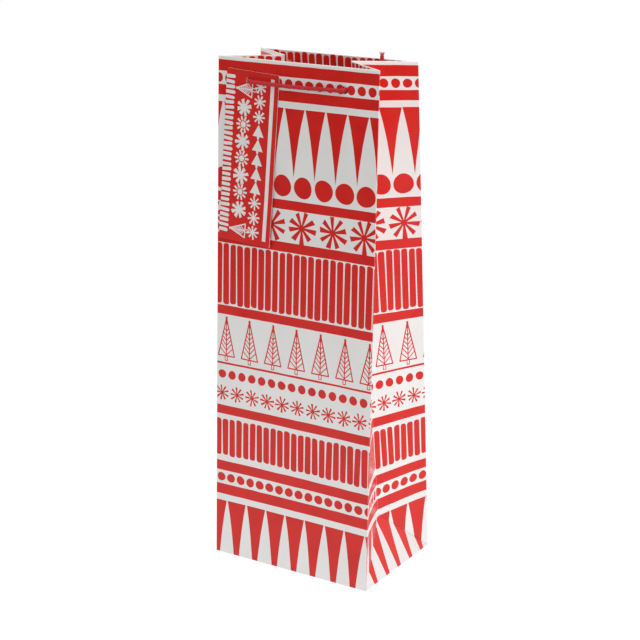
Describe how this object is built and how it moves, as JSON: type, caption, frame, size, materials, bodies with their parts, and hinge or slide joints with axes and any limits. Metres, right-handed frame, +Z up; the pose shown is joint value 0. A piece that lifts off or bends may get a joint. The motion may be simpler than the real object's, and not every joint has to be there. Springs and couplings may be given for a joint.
{
  "type": "paper bottle gift bag",
  "caption": "Tall gusseted paper bag for a bottle, with printed red and white bands, folded rim, twisted cord handles and a hanging gift tag.",
  "frame": {"origin": "centre of the bottom face, where the bag stands", "axes": "+Z up towards the mouth, +X along the front panel to its right as seen from the front, +Y from the front panel to the back panel"},
  "size_m": [0.1264, 0.09, 0.3632],
  "materials": {
    "printed_paper": "gloss laminate, white with red print",
    "rim_card": "matt, uncoated",
    "base_board": "matt, uncoated",
    "cord": "twisted fibre with a soft sheen",
    "tag_card": "satin coated card, red with white print"
  },
  "bodies": {
    "base": {"bottom_front_flap": "printed_paper", "bottom_back_flap": "printed_paper", "bottom_left_flap": "printed_paper", "bottom_right_flap": "printed_paper"},
    "board": {"base_board": "base_board"},
    "front": {"front_panel": "printed_paper", "front_rim_card": "rim_card", "front_rim_turn_in": "printed_paper", "front_handle_cord": "cord", "front_left_knot": "cord", "front_right_knot": "cord"},
    "back": {"back_panel": "printed_paper", "back_rim_card": "rim_card", "back_rim_turn_in": "printed_paper", "glued_side_lap": "printed_paper", "back_left_knot": "cord", "back_right_knot": "cord"},
    "right_front_fold": {"right_gusset_front": "printed_paper", "right_front_rim_turn_in": "printed_paper"},
    "right_back_fold": {"right_gusset_back": "printed_paper", "right_back_rim_turn_in": "printed_paper"},
    "left_front_fold": {"left_gusset_front": "printed_paper", "left_front_rim_turn_in": "printed_paper"},
    "left_back_fold": {"left_gusset_back": "printed_paper", "left_back_rim_turn_in": "printed_paper"},
    "right_triangle": {"right_gusset_triangle": "printed_paper"},
    "left_triangle": {"left_gusset_triangle": "printed_paper"},
    "back_handle": {"back_handle_cord": "cord"},
    "tag": {"gift_tag": "tag_card"}
  },
  "joints": [
    {"name": "mouth", "type": "hinge", "parent": "base", "child": "front", "pos_m": [0, -0.045, 0], "axis": [-1, 0, 0], "range_deg": [-1, 1.5]},
    {"name": "back_lean", "type": "hinge", "parent": "base", "child": "back", "pos_m": [0, 0.045, 0], "axis": [1, 0, 0], "range_deg": [-1, 1.5]},
    {"name": "right_front_corner", "type": "hinge", "parent": "front", "child": "right_front_fold", "pos_m": [0.0635, -0.045, 0], "axis": [0, 0.0361, 0.9993], "range_deg": [-9.5, 14.25]},
    {"name": "left_front_corner", "type": "hinge", "parent": "front", "child": "left_front_fold", "pos_m": [-0.0635, -0.045, 0], "axis": [0, -0.0361, -0.9993], "range_deg": [-9.5, 14.25]},
    {"name": "right_back_corner", "type": "hinge", "parent": "back", "child": "right_back_fold", "pos_m": [0.0635, 0.045, 0], "axis": [0, 0.0722, -0.9974], "range_deg": [-9.5, 14.25]},
    {"name": "left_back_corner", "type": "hinge", "parent": "back", "child": "left_back_fold", "pos_m": [-0.0635, 0.045, 0], "axis": [0, -0.0722, 0.9974], "range_deg": [-9.5, 14.25]},
    {"name": "right_foot_fold", "type": "hinge", "parent": "base", "child": "right_triangle", "pos_m": [0.0635, 0, 0], "axis": [0, -1, 0], "range_deg": [-2.4, 3.6]},
    {"name": "left_foot_fold", "type": "hinge", "parent": "base", "child": "left_triangle", "pos_m": [-0.0635, 0, 0], "axis": [0, 1, 0], "range_deg": [-2.4, 3.6]},
    {"name": "back_handle_swing", "type": "hinge", "parent": "back", "child": "back_handle", "pos_m": [0, 0.02266, 0.34449], "axis": [1, 0, 0], "range_deg": [0, 170]},
    {"name": "tag_swing", "type": "hinge", "parent": "front", "child": "tag", "pos_m": [-0.037, -0.03253, 0.34497], "axis": [0, -0.9993, 0.0361], "range_deg": [-30, 35]},
    {"name": "board_lift", "type": "slide", "parent": "base", "child": "board", "axis": [0, 0, 1], "range_m": [0, 0.0025]}
  ],
  "couplings": [
    {"joint": "back_lean", "follows": "mouth", "ratio": 1},
    {"joint": "right_front_corner", "follows": "mouth", "ratio": 9.5},
    {"joint": "left_front_corner", "follows": "mouth", "ratio": 9.5},
    {"joint": "right_back_corner", "follows": "mouth", "ratio": 9.5},
    {"joint": "left_back_corner", "follows": "mouth", "ratio": 9.5},
    {"joint": "right_foot_fold", "follows": "mouth", "ratio": 2.4},
    {"joint": "left_foot_fold", "follows": "mouth", "ratio": 2.4}
  ]
}
